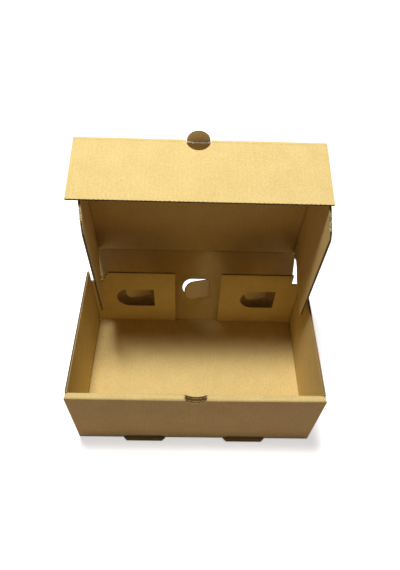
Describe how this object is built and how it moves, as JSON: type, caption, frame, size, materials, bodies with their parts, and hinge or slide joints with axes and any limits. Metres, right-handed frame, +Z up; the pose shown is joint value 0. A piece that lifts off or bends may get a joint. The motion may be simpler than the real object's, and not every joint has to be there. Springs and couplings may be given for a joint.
{
  "type": "shipping box",
  "caption": "Open one-piece corrugated shipping box with a hinged lid, side and front flaps, a rolled double front wall and lock slots at the back.",
  "frame": {"origin": "centre of the base's underside", "axes": "+X to the box's right seen from the front, +Y towards the back wall, +Z up"},
  "size_m": [0.35, 0.2865, 0.3653],
  "materials": {
    "kraft_board": "matte kraft liner"
  },
  "bodies": {
    "base": {"base_tray": "kraft_board"},
    "back_wall": {"back_wall": "kraft_board"},
    "lid": {"lid": "kraft_board"},
    "front_flap": {"lid_front_flap": "kraft_board"},
    "tongue_left": {"tongue_left": "kraft_board"},
    "tongue_centre": {"tongue_centre": "kraft_board"},
    "tongue_right": {"tongue_right": "kraft_board"}
  },
  "joints": [
    {"name": "wall_hinge", "type": "hinge", "parent": "base", "child": "back_wall", "pos_m": [0, 0.1096, 0.0015], "axis": [1, 0, 0], "range_deg": [-5.2, 26]},
    {"name": "lid_hinge", "type": "hinge", "parent": "back_wall", "child": "lid", "pos_m": [0, 0.16891, 0.12311], "axis": [1, 0, 0], "range_deg": [-12, 60.5]},
    {"name": "front_flap_hinge", "type": "hinge", "parent": "lid", "child": "front_flap", "pos_m": [0, 0.15505, 0.34968], "axis": [1, 0, 0], "range_deg": [-10.5, 2.1]},
    {"name": "tongue_left_hinge", "type": "hinge", "parent": "back_wall", "child": "tongue_left", "pos_m": [-0.08, 0.1096, 0.0015], "axis": [0, 0.4384, 0.8988], "range_deg": [-22, 23]},
    {"name": "tongue_centre_hinge", "type": "hinge", "parent": "back_wall", "child": "tongue_centre", "pos_m": [0.0225, 0.1096, 0.0015], "axis": [0, 0.4384, 0.8988], "range_deg": [-22, 23]},
    {"name": "tongue_right_hinge", "type": "hinge", "parent": "back_wall", "child": "tongue_right", "pos_m": [0.125, 0.1096, 0.0015], "axis": [0, 0.4384, 0.8988], "range_deg": [-22, 23]}
  ],
  "couplings": [
    {"joint": "wall_hinge", "follows": "lid_hinge", "ratio": 0.42975},
    {"joint": "front_flap_hinge", "follows": "lid_hinge", "ratio": -0.17355}
  ]
}
